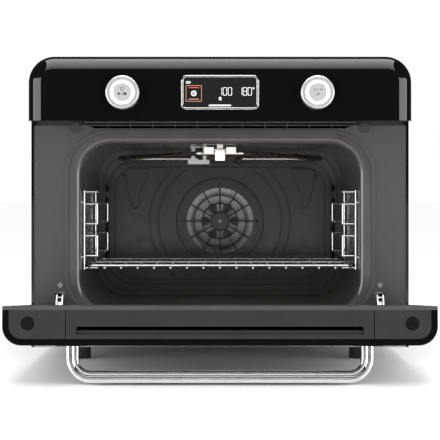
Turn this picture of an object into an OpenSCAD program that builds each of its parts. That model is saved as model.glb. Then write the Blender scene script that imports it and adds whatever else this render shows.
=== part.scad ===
// Countertop convection oven with a drop-down door, shown with the door open.
// Origin on the floor under the middle of the oven with its open door. X to the right, Y to the back, Z up.
// Door pieces are drawn as they stand with the door shut, then swung down together.

/* [Overall size] */
// Width of the casing
body_w = 498; // [415:1:600]
// Height from the floor to the top of the casing
body_h = 401; // [365:1:482]
// Depth of the casing from the front frame to the rear panel
body_d = 396; // [330:1:476]
// Height of the feet
foot_h = 20; // [16:1:26]
// Diameter of the feet
foot_dia = 30; // [20:1:40]

/* [Casing] */
// Sheet thickness of the wrap-round casing, the base pan and the rear panel
sheet_t = 1.2; // [0.8:0.1:2]
// Radius of the casing's two top corners
corner_r = 34; // [26:1:41]
// Width of the casing's folded front hem
hem_w = 3.4; // [2:0.1:5]

/* [Control fascia] */
// Height of the fascia
fascia_h = 84; // [72:1:101]
// How far the fascia stands in front of the front frame
fascia_t = 47; // [38:1:57]
// Wall of the fascia
fascia_wall = 3; // [2:0.5:5]
// Radius of the rounded nose round the fascia's front edge
fascia_nose_r = 22; // [14:1:25]
// Width of the display frame
display_w = 100; // [83:1:120]
// Height of the display frame
display_h = 44.3; // [36:0.1:54]
// Face width of the display frame
display_rim = 2.6; // [1.5:0.1:4]
// Distance of each dial's axis from the middle
dial_x = 125; // [104:1:150]
// Diameter of a dial
dial_dia = 42.6; // [38:0.1:52]
// How far a dial stands off the fascia
dial_h = 17; // [13:0.5:22]
// Diameter of the push button in a dial
button_dia = 24.8; // [20:0.1:27]
// Travel of the push button
button_travel = 2; // [1:0.1:3]

/* [Door] */
// Thickness of the door
door_t = 45; // [37:1:55]
// Gap between the shut door and the front frame, and between the door and the fascia
door_gap = 2; // [1.5:0.1:3]
// Wall of the door shell
door_wall = 7.5; // [6:0.5:9]
// Thickness of the door's inner plate
inner_plate_t = 4.5; // [3.5:0.1:5.5]
// Radius of the door's rounded upright edges
door_nose_r = 22; // [14:1:27]
// How far the hinge axis lies behind the door's inner face and above its lower edge
hinge_reach = 12; // [10:0.5:15]
// Distance from the cavity's flange to the middle of each hinge
hinge_gap = 6.4; // [5.3:0.1:7.7]
// Angle of the open door
open_angle = 86; // [80:1:88]
// Height of the open door's handle above the floor
floor_gap = 3.2; // [2.5:0.1:4]
// Distance from the middle of each hinge to the door's window
window_gap = 23; // [22:1:28]
// Height of the door's window
window_h = 150; // [120:1:152]

/* [Handle] */
// Outer width of the handle
handle_w = 356; // [296:1:427]
// How far the handle stands off the door
handle_reach = 44; // [36:1:50]
// Distance of the handle's middle from the door's upper edge
handle_drop = 35; // [29:1:42]

/* [Cavity] */
// Space between the casing's side and the cavity
side_space = 64.5; // [60:0.5:77]
// Space between the cavity and the fascia above it
ceiling_drop = 28.8; // [24:0.1:35]
// Space between the underside of the casing and the cavity
base_space = 48; // [42:1:57]
// Space behind the cavity for the fan and its motor
rear_space = 91; // [80:1:109]
// Corner radius of the cavity
cavity_r = 42; // [35:1:50]
// Radius of the rolled lip round the cavity's mouth
lip_r = 7; // [5:0.5:9]
// Width of the flange beside the mouth
flange_w = 20.1; // [17:0.1:24]
// Width of the door gasket
gasket_w = 5; // [4:0.1:6]

/* [Fan and heaters] */
// Radius of the fan's intake opening
intake_r = 60; // [50:1:64]
// Radius of the fan wheel
impeller_r = 54; // [45:1:60]
// Depth of the fan chamber
chamber_d = 40; // [34:1:48]
// Diameter of the heater tubes
heater_dia = 6.5; // [5.5:0.1:7.8]
// Diameter of the fan shaft
shaft_dia = 8; // [6:0.1:9.6]

/* [Rack and ladders] */
// Diameter of the rack's frame wire
rack_wire = 3.8; // [3.2:0.1:4.5]
// Spacing of the rack's long wires
rack_pitch = 22; // [18:1:26]
// Depth of the rack
rack_d = 206; // [172:1:247]
// Diameter of the ladder wires
ladder_wire = 2.2; // [1.8:0.1:2.7]
// Height of the gap that a rack slides in
level_gap = 16.2; // [13.5:0.1:19]
// Spacing of the rack levels
level_pitch = 42.8; // [36:0.1:48]

/* [Hidden] */
$fn = 64;

// Clearances
touch = 0.3;          // between faces of pieces that move past each other
running = 0.05;       // radial play of a shaft in its hole
weld = 0.5;           // how far one wire sinks into another

// Casing
fascia_z = body_h - fascia_h;
gland_out = 9;
handle_z = fascia_z - door_gap - handle_drop;
hinge_z = round(10 * (floor_gap + (door_t - hinge_reach + handle_reach) * sin(open_angle)
    - handle_z * cos(open_angle)) / (1 - cos(open_angle))) / 10;
plinth_z = hinge_z - hinge_reach;
swing_out = (fascia_z - door_gap - hinge_z) * sin(open_angle)
    + (door_t - hinge_reach) * cos(open_angle);
front_y = round(5 * (door_gap + hinge_reach + swing_out - body_d - gland_out)) / 10;
rear_y = front_y + body_d;
fascia_y = front_y - fascia_t;
frame_t = 2;
frame_half_w = body_w / 2 - hem_w;
frame_top = fascia_z - 4.3;
foot_x = body_w / 2 - 59;
foot_front_y = front_y + 55;
foot_rear_y = rear_y - 46;

// Cavity
mouth_w = body_w - 2 * side_space;
mouth_z0 = foot_h + base_space;
mouth_z1 = fascia_z - ceiling_drop;
mouth_h = mouth_z1 - mouth_z0;
mouth_z = (mouth_z0 + mouth_z1) / 2;
seat_w = mouth_w + 2 * flange_w;
seat_z0 = mouth_z0 - 12;
seat_z1 = mouth_z1 + 18.5;
seat_h = seat_z1 - seat_z0;
seat_z = (seat_z0 + seat_z1) / 2;
seat_r = cavity_r + 16;
baffle_y = rear_y - rear_space;
chamber_y = baffle_y + chamber_d;
fan_z = mouth_z + 1.9;
blanket_t = 12;
blanket_half_w = mouth_w / 2 + sheet_t + blanket_t;
blanket_y0 = front_y + lip_r + 6;
blanket_y1 = chamber_y + sheet_t + 10;

// Air outlet under the fascia
outlet_half_w = body_w / 2 - 71;
outlet_slope = 15;
outlet_z0 = fascia_z - 9;
duct_z0 = outlet_z0 - 1.5;
duct_z1 = fascia_z + 3;
rotor_y = front_y + 238;
rotor_r = 50;
rotor_h = 22;

// Door, as it stands when shut
glass_rim = 8;
door_back = front_y - door_gap;
door_front = door_back - door_t;
door_z0 = plinth_z;
door_z1 = fascia_z - door_gap;
plate_y = door_back - inner_plate_t;
shell_inner_y = door_front + door_wall;
hinge_y = door_back - hinge_reach;
hinge_x = seat_w / 2 + hinge_gap;
base_h = 25;
window_w = 2 * (hinge_x - window_gap);
window_z = handle_z - base_h / 2 - 3 - glass_rim - window_h / 2;
window_r = 26;
glass_t = 4;
middle_t = 3;
middle_y = (plate_y + shell_inner_y) / 2;
end_cap_t = 9;

// Hinge
arm_w = 9;
arm_leg = 1.6;
arm_half = 5.5;
arm_rise = 20;
arm_end_y = front_y + 76;
pin_r = 3;
slot_w = 13;
slot_z1 = hinge_z + 33;
case_wall = 2;
case_h = 120;

// Dials
dial_z = fascia_z + fascia_h / 2 - 6.5;
display_z = dial_z + 0.5;
display_r = 7.4;
display_proud = 1.6;
dial_base_t = 1.4;
sleeve_r = button_dia / 2 + running + 2.9;
dial_y1 = fascia_y - dial_base_t - touch;
dial_y0 = fascia_y - dial_h;

// Rack and ladders
rack_z = mouth_z0 + 58.3;
rack_half_w = mouth_w / 2 - 7.5;
rack_front_y = front_y + 22;
rail_x = rack_half_w - rack_wire / 2;
ladder_out_x = mouth_w / 2 - 2.5;
ladder_in_x = mouth_w / 2 - 19.9;
ladder_y0 = front_y + 30;
ladder_y1 = rack_front_y + rack_d - 15;
runner_wire = ladder_wire - 0.2;
level_count = 1 + floor((mouth_z1 - rack_z - level_gap - 40) / level_pitch);
ladder_fixing_z = [rack_z + 10.5, rack_z - 17.5 + (level_count - 1) * level_pitch + level_gap];
level_z0 = rack_z - rack_wire / 2 - runner_wire / 2 - touch - 0.1;

// Grill element
grill_z = mouth_z1 - 11;
grill_front_y = front_y + 50;
grill_half_w = mouth_w / 2 - cavity_r + 16;
grill_tilt = 1.2;
grill_leg_x = 28;
grill_apex_x = 28;
grill_rear_y = grill_front_y + (grill_half_w - grill_apex_x) * 4 / 3;
bracket_y = grill_front_y + 70;
floor_front_y = front_y + 68;
floor_rear_y = baffle_y - 47;
floor_half_w = mouth_w / 2 - 44.5;

// ---- Shared shapes ----

// Stands a drawing up: x stays across, y becomes height, and its thickness comes forwards from depth y
module facing(y) translate([0, y, 0]) rotate([90, 0, 0]) children();

// Upright slab of an outline between two depths
module slab(y_front, y_back) facing(y_back) linear_extrude(y_back - y_front) children();

// Outline of depth and height, carried across from x0 to x1
module along_x(x0, x1) translate([x0, 0, 0]) rotate([90, 0, 90]) linear_extrude(x1 - x0) children();

// The pieces and their mirror images on the other side
module both_sides() {
    children();
    mirror([1, 0, 0]) children();
}

// Rectangle with round corners about the origin
module round_rect(w, h, r) {
    square([w - 2 * r, h], center = true);
    square([w, h - 2 * r], center = true);
    for (x = [-1, 1], y = [-1, 1]) translate([x * (w / 2 - r), y * (h / 2 - r)]) circle(r);
}

// Outline with a square foot and two round top corners
module arch(w, z0, z1, r) {
    translate([-w / 2, z0]) square([w, z1 - z0 - r]);
    translate([r - w / 2, z0]) square([w - 2 * r, z1 - z0]);
    for (s = [-1, 1]) translate([s * (w / 2 - r), z1 - r]) circle(r);
}

// Straight run of a profile: x outwards at the given reach, y as height, along the drawing's y
module side_run(reach, half_length)
    translate([reach, half_length, 0]) rotate([90, 0, 0]) linear_extrude(2 * half_length) children();

// Carries a profile (x outwards from the line, y forwards) round a rectangle with round corners
module swept_rect(w, h, r) {
    for (sx = [0, 1]) mirror([sx, 0, 0]) {
        side_run(w / 2, h / 2 - r) children();
        for (sy = [0, 1]) mirror([0, sy, 0])
            translate([w / 2 - r, h / 2 - r, 0]) rotate_extrude(angle = 90) translate([r, 0]) children();
    }
    for (sy = [0, 1]) mirror([0, sy, 0]) rotate([0, 0, 90]) side_run(h / 2, w / 2 - r) children();
}

// Edge of a thick panel, reach wide and t thick, its outer front corner rounded by nose
module edge_profile(reach, t, nose) {
    square([reach, t - nose]);
    square([reach - nose, t]);
    intersection() {
        translate([reach - nose, t - nose]) circle(nose);
        square([reach, t]);
    }
}

// Block with round top corners and a rounded nose round its front edge; its underside is flat
module nosed_block(w, z0, z1, t, corner, nose) {
    half = w / 2 - corner;
    rise = z1 - corner - z0;
    translate([-half, z0, 0]) cube([2 * half, rise, t]);
    translate([0, z1 - corner, 0]) rotate([0, 0, 90]) side_run(0, half) edge_profile(corner, t, nose);
    both_sides() {
        translate([0, z0 + rise / 2, 0]) side_run(half, rise / 2) edge_profile(corner, t, nose);
        translate([half, z1 - corner, 0]) rotate_extrude(angle = 90) edge_profile(corner, t, nose);
    }
}

// Straight round rod between two points
module rod(a, b, d) {
    v = b - a;
    translate(a) rotate([0, acos(v.z / norm(v)), atan2(v.y, v.x)]) cylinder(h = norm(v), d = d);
}

// Ring of round wire about the origin
module wire_ring(r, d) rotate_extrude() translate([r, 0]) circle(d = d);

function heading(a, b) = atan2(b.y - a.y, b.x - a.x);
function wrapped(t) = t > 180 ? t - 360 : t < -180 ? t + 360 : t;
function turn(a, b, c) = wrapped(heading(b, c) - heading(a, b));
function bend_trim(a, b, c, r) = r * tan(abs(turn(a, b, c)) / 2);

// Bar along a flat path of points, with bends of radius r; the section has x to the right of travel
module bent_bar(points, r) {
    last = len(points) - 1;
    for (i = [0 : last - 1]) {
        a = points[i];
        b = points[i + 1];
        h = heading(a, b);
        trim_a = i == 0 ? 0 : bend_trim(points[i - 1], a, b, r);
        trim_b = i == last - 1 ? 0 : bend_trim(a, b, points[i + 2], r);
        end = b - trim_b * [cos(h), sin(h)];
        translate(end) rotate([90, 0, h - 90]) linear_extrude(norm(b - a) - trim_a - trim_b) children();
    }
    for (i = [1 : last - 1]) {
        h = heading(points[i - 1], points[i]);
        t = turn(points[i - 1], points[i], points[i + 1]);
        side = sign(t);
        start = points[i] - bend_trim(points[i - 1], points[i], points[i + 1], r) * [cos(h), sin(h)];
        translate(start + side * r * [-sin(h), cos(h)]) rotate([0, 0, h - side * 90 + min(t, 0)])
            rotate_extrude(angle = abs(t)) translate([r, 0]) mirror([side < 0 ? 1 : 0, 0]) children();
    }
}

// Round bar r across standing forwards between two depths
module peg(x, z, r, y_front, y_back) translate([x, 0, z]) slab(y_front, y_back) circle(r);

// Screw with a low round head; the head's seat is at y_seat and the shank goes back from it
module screw(x, z, head_r, shank_r, y_seat, length, head_h = 1.6) {
    peg(x, z, head_r, y_seat - head_h, y_seat);
    peg(x, z, shank_r, y_seat, y_seat + length);
}

// ---- Casing ----

module outer_wrap() color("black") {
    slab(front_y, rear_y) difference() {
        arch(body_w, foot_h, body_h, corner_r);
        arch(body_w - 2 * sheet_t, foot_h - 1, body_h - sheet_t, corner_r - sheet_t);
    }
    slab(front_y, front_y + 3) difference() {
        arch(body_w, foot_h, body_h, corner_r);
        arch(body_w - 2 * hem_w, foot_h - 1, body_h - hem_w, corner_r - hem_w);
    }
}

module display_outline(inset) round_rect(display_w - 2 * inset, display_h - 2 * inset, display_r - inset);

module fascia() color("black") difference() {
    facing(front_y) nosed_block(body_w, fascia_z, body_h, fascia_t, corner_r, fascia_nose_r);
    facing(front_y + 1) nosed_block(body_w - 2 * fascia_wall, fascia_z + fascia_wall,
        body_h - fascia_wall, fascia_t - fascia_wall + 1, corner_r - fascia_wall,
        fascia_nose_r - fascia_wall);
    translate([0, 0, display_z]) slab(fascia_y - 1, fascia_y + fascia_wall + 1) display_outline(display_rim);
    both_sides() peg(dial_x, dial_z, sleeve_r, fascia_y - 1, fascia_y + fascia_wall + 1);
}

module display_bezel() color("silver") translate([0, 0, display_z]) facing(fascia_y)
    swept_rect(display_w - 2 * display_rim, display_h - 2 * display_rim, display_r - display_rim) {
        square([display_rim, display_proud - 0.6]);
        translate([0.6, 0]) square([display_rim - 1.2, display_proud]);
        for (x = [0.6, display_rim - 0.6]) translate([x, display_proud - 0.6]) circle(0.6);
    }

module display_glass() color("black") translate([0, 0, display_z])
    slab(fascia_y - 0.4, fascia_y + fascia_wall) display_outline(display_rim + 0.1);

module display_board() color("darkgreen") {
    translate([0, 0, display_z]) slab(fascia_y + fascia_wall + 6, fascia_y + fascia_wall + 7.6)
        round_rect(display_w + 8, display_h, 2);
    both_sides() for (s = [-1, 1])
        peg(display_w / 2, display_z + s * (display_h / 2 - 5), 2.5, fascia_y + fascia_wall,
            fascia_y + fascia_wall + 6);
}

module dial_bases() color("black") both_sides() difference() {
    peg(dial_x, dial_z, dial_dia / 2 + 0.6, fascia_y - dial_base_t, fascia_y);
    peg(dial_x, dial_z, sleeve_r, fascia_y - dial_base_t - 1, fascia_y + 1);
}

// Clear sleeve that the dial turns on and the button slides in; its front edge glows
module light_rings() color("white") both_sides() difference() {
    peg(dial_x, dial_z, sleeve_r, dial_y0 + 1, fascia_y + fascia_wall + 8);
    peg(dial_x, dial_z, button_dia / 2 + running, dial_y0, fascia_y + fascia_wall + 9);
}

module encoders() color("dimgray") both_sides() translate([dial_x, 0, dial_z])
    slab(fascia_y + fascia_wall + 8, fascia_y + fascia_wall + 18) round_rect(34, 34, 3);

module control_board() color("darkgreen") {
    translate([0, front_y + 70, body_h - 52]) cube([150, 90, 1.6], center = true);
    translate([-40, front_y + 70, body_h - 41.2]) cube([38, 40, 20], center = true);
    translate([30, front_y + 80, body_h - 43.7]) cube([20, 30, 15], center = true);
    for (x = [-68, 68], y = [-38, 38])
        translate([x, front_y + 70 + y, duct_z1]) cylinder(h = body_h - 52.8 - duct_z1, r = 3);
}

// Dial: a turned outer ring with a groove round its face
module dial(x) color("silver") translate([x, 0, dial_z]) facing(dial_y1) rotate_extrude() difference() {
    union() {
        translate([sleeve_r + running, 0])
            square([dial_dia / 2 - sleeve_r - running - 1.5, dial_y1 - dial_y0]);
        translate([sleeve_r + running, 0])
            square([dial_dia / 2 - sleeve_r - running, dial_y1 - dial_y0 - 1.5]);
        translate([dial_dia / 2 - 1.5, dial_y1 - dial_y0 - 1.5]) circle(1.5);
    }
    translate([sleeve_r + 2.2, dial_y1 - dial_y0 - 0.9]) square([1, 2]);
}

module left_dial() dial(-dial_x);
module right_dial() dial(dial_x);

// Push button: a plunger with a slightly domed face
module button(x) color("silver") translate([x, 0, dial_z]) facing(fascia_y + fascia_wall + 4)
    rotate_extrude() {
        square([button_dia / 2, fascia_wall + 4 + dial_h - 1.2]);
        square([button_dia / 2 - 1.2, fascia_wall + 4 + dial_h]);
        translate([button_dia / 2 - 1.2, fascia_wall + 4 + dial_h - 1.2]) circle(1.2);
    }

module left_button() button(-dial_x);
module right_button() button(dial_x);

module plinth() color("gainsboro") {
    slab(front_y + 2, front_y + 2 + sheet_t)
        translate([-frame_half_w, foot_h]) square([2 * frame_half_w, plinth_z - foot_h]);
}

module base_pan() color("dimgray") {
    y0 = front_y + 2 + sheet_t;
    y1 = rear_y - sheet_t;
    half = body_w / 2 - sheet_t;
    translate([-half, y0, foot_h]) cube([2 * half, y1 - y0, sheet_t]);
    both_sides() translate([half - sheet_t, y0, foot_h]) cube([sheet_t, y1 - y0, 14]);
}

module foot() color("dimgray") rotate_extrude() {
    square([foot_dia / 2 - 1.5, foot_h]);
    translate([0, 1.5]) square([foot_dia / 2, foot_h - 5.5]);
    translate([foot_dia / 2 - 1.5, 1.5]) circle(1.5);
}

module feet() both_sides() for (y = [foot_front_y, foot_rear_y]) translate([foot_x, y, 0]) foot();

module rear_panel() color("dimgray") slab(rear_y - sheet_t, rear_y) difference() {
    arch(body_w - 2 * sheet_t, foot_h, body_h - sheet_t, corner_r - sheet_t);
    for (row = [0 : 5], s = [-1, 1], col = [0 : 3])
        translate([s * (40 + 36 * col), fan_z + 20 * row - 30]) round_rect(26, 5, 2.4);
    for (col = [-3 : 3]) translate([col * 48, body_h - 34]) round_rect(36, 5, 2.4);
    for (p = rear_screw_points()) translate(p) circle(2);
    translate([gland_x, gland_z]) circle(8);
}

gland_x = 60 - body_w / 2;
gland_z = foot_h + 34;
function rear_screw_points() = [for (x = [-1, 0, 1], z = [foot_h + 12, body_h - 14])
    [x * (body_w / 2 - 52), z]];

module rear_screws() color("silver") mirror([0, 1, 0]) for (p = rear_screw_points())
    screw(p.x, p.y, 4, 2, -rear_y, 8);

module cable_gland() color("black") translate([gland_x, 0, gland_z]) {
    slab(rear_y - 8, rear_y) difference() {
        circle(8);
        circle(4.5);
    }
    slab(rear_y, rear_y + gland_out) difference() {
        circle(11);
        circle(4.5);
    }
}

// ---- Front frame ----

module seat_outline(grow) translate([0, seat_z])
    round_rect(seat_w + 2 * grow, seat_h + 2 * grow, seat_r + grow);
module mouth_outline(grow) translate([0, mouth_z])
    round_rect(mouth_w + 2 * grow, mouth_h + 2 * grow, cavity_r + grow);

module outlet_notch(z0, z1) polygon([
    [outlet_slope - outlet_half_w, z0], [outlet_half_w - outlet_slope, z0],
    [outlet_half_w, z1], [-outlet_half_w, z1]]);

bumper_x = body_w / 2 - 58;
bumper_z = frame_top - 3.4;
hinge_screw_z = hinge_z + arm_rise + 17;

module front_frame() color("dimgray") {
    difference() {
        slab(front_y, front_y + frame_t) difference() {
            translate([-frame_half_w, plinth_z]) square([2 * frame_half_w, frame_top - plinth_z]);
            seat_outline(0);
            outlet_notch(outlet_z0, frame_top + 1);
            both_sides() {
                translate([hinge_x - slot_w / 2, hinge_z + arm_rise - 9]) square([slot_w, 17]);
                translate([hinge_x, hinge_screw_z]) circle(2);
                translate([bumper_x, bumper_z]) circle(3);
            }
        }
        both_sides() translate([frame_half_w - 5.8, front_y - 1, plinth_z - 1])
            cube([7, 1.9, frame_top - plinth_z + 2]);
    }
    both_sides() {
        translate([frame_half_w - sheet_t, front_y + frame_t, plinth_z])
            cube([sheet_t, 10, frame_top - plinth_z]);
        translate([outlet_half_w + 1, front_y + frame_t, frame_top - sheet_t])
            cube([frame_half_w - sheet_t - outlet_half_w - 1, 10, sheet_t]);
        translate([outlet_half_w + 1, front_y + frame_t + 10 - sheet_t, frame_top])
            cube([frame_half_w - sheet_t - outlet_half_w - 1, sheet_t, 16]);
    }
}

module air_outlet_grille() color("dimgray") {
    y0 = front_y + frame_t;
    difference() {
        translate([-outlet_half_w, y0, outlet_z0]) cube([2 * outlet_half_w, 10, 8.8]);
        translate([1 - outlet_half_w, y0 - 1, outlet_z0 + 1]) cube([2 * outlet_half_w - 2, 12, 3.3]);
        translate([1 - outlet_half_w, y0 - 1, outlet_z0 + 5.5]) cube([2 * outlet_half_w - 2, 12, 2.3]);
    }
    for (i = [-5 : 5])
        translate([i * (outlet_half_w / 6) - 0.6, y0 + 6, outlet_z0 + 0.5]) cube([1.2, 3.5, 7.8]);
}

module door_gasket() color("black") translate([0, 0, seat_z]) facing(front_y)
    swept_rect(seat_w - 2 * gasket_w, seat_h - 2 * gasket_w, seat_r - gasket_w) {
        h = door_gap - touch;
        square([gasket_w, h - 0.8]);
        translate([0.8, 0]) square([gasket_w - 1.6, h]);
        for (x = [0.8, gasket_w - 0.8]) translate([x, h - 0.8]) circle(0.8);
    }

module frame_bumpers() color("black") both_sides() {
    peg(bumper_x, bumper_z, 6.7, front_y - door_gap + touch, front_y);
    peg(bumper_x, bumper_z, 3, front_y, front_y + frame_t);
}

// ---- Cavity ----

module cavity_liner() color("dimgray") {
    // rolled lip
    translate([0, 0, mouth_z]) facing(front_y) swept_rect(mouth_w, mouth_h, cavity_r)
        intersection() {
            translate([lip_r, -lip_r]) difference() {
                circle(lip_r);
                circle(lip_r - sheet_t);
            }
            translate([0, -lip_r]) square(lip_r);
        }
    // flange and its step behind the frame
    slab(front_y, front_y + sheet_t) difference() {
        seat_outline(0);
        mouth_outline(lip_r);
    }
    slab(front_y, front_y + frame_t + sheet_t) difference() {
        seat_outline(0);
        seat_outline(-sheet_t);
    }
    slab(front_y + frame_t, front_y + frame_t + sheet_t) difference() {
        seat_outline(1);
        seat_outline(-sheet_t);
    }
    // walls and back
    difference() {
        slab(front_y + lip_r, chamber_y) difference() {
            mouth_outline(sheet_t);
            mouth_outline(0);
        }
        ladder_fixings(1.5);
    }
    slab(chamber_y, chamber_y + sheet_t) difference() {
        mouth_outline(sheet_t);
        translate([0, fan_z]) circle(shaft_dia / 2 + 4);
        for (x = heater_exits_x) translate([x, grill_exit_z]) circle(heater_dia / 2 + 0.5);
        both_sides() translate([ring_leg_x, ring_leg_z]) circle(heater_dia / 2 + 0.2);
    }
}

// The grill tubes leave through the back at the height that their tilt brings them to
grill_exit_y = chamber_y + 30;
grill_exit_z = grill_z - (chamber_y - grill_front_y) * tan(grill_tilt);
heater_exits_x = [-grill_leg_x, grill_leg_x];
ring_r = (impeller_r + mouth_h / 2 - 4.1) / 2;
ring_leg_x = 7;
ring_leg_z = fan_z + sqrt(ring_r * ring_r - ring_leg_x * ring_leg_x);

// A stamped bead: a low ridge with sloped sides
module bead(w, h) polygon([[-w / 2, -0.2], [w / 2, -0.2], [w / 4, h], [-w / 4, h]]);

module rear_baffle() color("dimgray") difference() {
    union() {
        slab(baffle_y, baffle_y + sheet_t) mouth_outline(-touch);
        // stamped beads round the wall and round the fan
        for (inset = [7, 17, 25]) translate([0, 0, mouth_z]) facing(baffle_y)
            swept_rect(mouth_w - 2 * inset, mouth_h - 2 * inset, cavity_r - inset / 3) bead(3, 1.2);
        for (r = [intake_r + 34, intake_r + 47]) translate([0, 0, fan_z]) facing(baffle_y) intersection() {
            rotate_extrude() translate([r, 0]) bead(3, 1.2);
            translate([0, mouth_z - fan_z, -1]) linear_extrude(4)
                square([2 * mouth_w, mouth_h - 56], center = true);
        }
        // dished rim round the intake
        translate([0, 0, fan_z]) facing(baffle_y + sheet_t) rotate_extrude()
            polygon([[intake_r + 7.2, 0], [intake_r + 7.2, sheet_t], [intake_r + 6, sheet_t + 1.4],
                [intake_r + 4.5, sheet_t + 1.4], [intake_r, -7], [intake_r + 1.4, -7.6],
                [intake_r + 5.6, 0]]);
    }
    slab(baffle_y - 4, baffle_y + sheet_t + 1) {
        for (x = heater_exits_x) translate([x, baffle_exit_z]) circle(heater_dia / 2 + 2);
        for (p = baffle_screw_points()) translate(p) circle(2);
        translate([probe_x, fan_z + 2]) circle(4);
        both_sides() for (k = [0 : 5])
            translate([mouth_w / 2 - 12, fan_z - 50 + 20 * k]) round_rect(5, 14, 2.4);
    }
    slab(baffle_y - 4, baffle_y + sheet_t + 8) translate([0, fan_z]) circle(intake_r);
}

baffle_exit_z = grill_z - (baffle_y - grill_front_y) * tan(grill_tilt);
probe_x = 60 - mouth_w / 2 + 4.5;
baffle_screw_inset = 40;
function baffle_screw_points() = [for (x = [-1, 1], z = [mouth_z0, mouth_z1])
    [x * (mouth_w / 2 - baffle_screw_inset), z + sign(mouth_z - z) * baffle_screw_inset]];

// Stamped ring behind the intake, with wire rings and spokes across it
guard_screw_r = intake_r - 4.5;
module fan_guard() color("gray") translate([0, 0, fan_z]) facing(baffle_y + sheet_t + 9.1) {
    linear_extrude(1.2) difference() {
        circle(intake_r + 1.2);
        circle(intake_r - 9);
        for (a = [0 : 90 : 270]) rotate([0, 0, a]) translate([guard_screw_r, 0]) circle(1.6);
    }
    for (r = [14, 27, 40]) translate([0, 0, 1]) wire_ring(r, 2.2);
    for (a = [0 : 30 : 330]) rotate([0, 0, a]) translate([0, 0, 1])
        rod([14, 0, 0], [intake_r - 8.5, 0, 0], 2);
    linear_extrude(1.2) difference() {
        circle(14);
        circle(3);
    }
}

module baffle_screws() color("silver") {
    for (p = baffle_screw_points()) screw(p.x, p.y, 4, 2, baffle_y, 10);
    translate([0, 0, fan_z]) for (a = [0 : 90 : 270])
        screw(guard_screw_r * cos(a), guard_screw_r * sin(a), 3, 1.6, baffle_y + sheet_t + 7.9, 4);
}

module ring_heater() color("dimgray") {
    translate([0, 0, fan_z]) facing(baffle_y + 24) difference() {
        wire_ring(ring_r, heater_dia);
        translate([0, ring_r, 0]) cube([2 * ring_leg_x, 20, 20], center = true);
    }
    both_sides() translate([ring_leg_x, 0, ring_leg_z])
        rotate([-90, 0, 0]) translate([0, 0, baffle_y + 24]) cylinder(h = chamber_d + 2, d = heater_dia);
}

// Fan wheel: back disc, hub, ring of blades and front ring on the motor's shaft
module fan_impeller() color("silver") translate([0, 0, fan_z]) {
    y1 = baffle_y + 33;
    y0 = baffle_y + 14;
    difference() {
        slab(y1 - 1, y1) circle(impeller_r);
        for (a = [0 : 60 : 300]) rotate([0, a, 0]) peg(impeller_r * 0.42, 0, 7, y1 - 2, y1 + 1);
    }
    slab(y0 + 4, y1) circle(12);
    slab(y0, y0 + 4.5) circle(7);
    slab(y0, y0 + 1) difference() {
        circle(impeller_r);
        circle(impeller_r - 9);
    }
    for (a = [0 : 15 : 345]) rotate([0, a, 0]) slab(y0 + 0.5, y1 - 0.5)
        translate([impeller_r - 7, 0]) rotate([0, 0, 35]) square([16, 1], center = true);
    slab(y1 - 1, chamber_y + 30) circle(shaft_dia / 2);
}

module fan_motor() color("dimgray") translate([0, 0, fan_z]) difference() {
    union() {
        slab(chamber_y + 18, rear_y - 9) circle(32);
        slab(chamber_y + sheet_t + 2, chamber_y + 18.5) circle(13);
        for (a = [45 : 90 : 315]) rotate([0, a, 0])
            peg(26, 0, 4, chamber_y + sheet_t, chamber_y + 19);
    }
    peg(0, 0, shaft_dia / 2 + running, chamber_y, chamber_y + 34);
}

module tube_section() circle(d = heater_dia);

// Heating tube under the ceiling: a bar along the rear, and two runs that meet at the front holder
module grill_element() color("lightgray")
    translate([0, grill_front_y, grill_z]) rotate([-grill_tilt, 0, 0]) translate([0, -grill_front_y, 0])
        bent_bar([[-grill_leg_x, grill_exit_y], [-grill_leg_x, grill_rear_y], [-grill_half_w, grill_rear_y],
            [-grill_apex_x, grill_front_y], [grill_apex_x, grill_front_y], [grill_half_w, grill_rear_y],
            [grill_leg_x, grill_rear_y], [grill_leg_x, grill_exit_y]], 12) tube_section();

// Steel strip that hangs the thermostat bulb from the ceiling
module grill_bracket() color("silver") {
    y = bracket_y;
    translate([-45, y, mouth_z1 - 24.5]) cube([30, 1.2, 6]);
    translate([-40, y, mouth_z1 - 19]) cube([5, 1.2, 19]);
    translate([-24, y, mouth_z1 - 19]) cube([5, 1.2, 19]);
    translate([-42, y, mouth_z1 - 1.2]) cube([24, 12, 1.2]);
}

// White ceramic holder that carries the tube at the front: a middle block and two ears on a bridge
module element_insulators() color("white") translate([0, grill_front_y, mouth_z1]) difference() {
    union() {
        both_sides() translate([15, 0, -7.2]) cube([13, 14, 8.4], center = true);
        translate([0, 1, -14]) cube([13, 18, 14], center = true);
        translate([0, 5, -7.5]) cube([26, 6, 5], center = true);
        translate([-4, 2, -9]) cube([8, 6, 9]);
    }
    translate([0, 0, grill_z - mouth_z1]) rotate([0, 90, 0])
        cylinder(h = 80, d = heater_dia + 0.2, center = true);
}

module floor_heater() color("dimgray") translate([0, 0, mouth_z0 - sheet_t - heater_dia / 2 - 0.4])
    bent_bar([[-40, chamber_y + 22], [-40, floor_rear_y], [-floor_half_w, floor_rear_y],
        [-floor_half_w, floor_front_y], [floor_half_w, floor_front_y], [floor_half_w, floor_rear_y],
        [40, floor_rear_y], [40, chamber_y + 22]], 24) tube_section();

module cavity_probe() color("gray") translate([probe_x, 0, fan_z + 2]) {
    slab(baffle_y - 3, baffle_y) circle(8);
    slab(baffle_y - 8, baffle_y - 3) circle(5);
    slab(baffle_y, baffle_y + 12) circle(3.9);
    translate([-7, baffle_y - 2, 9]) cube([14, 2, 7]);
}

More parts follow.
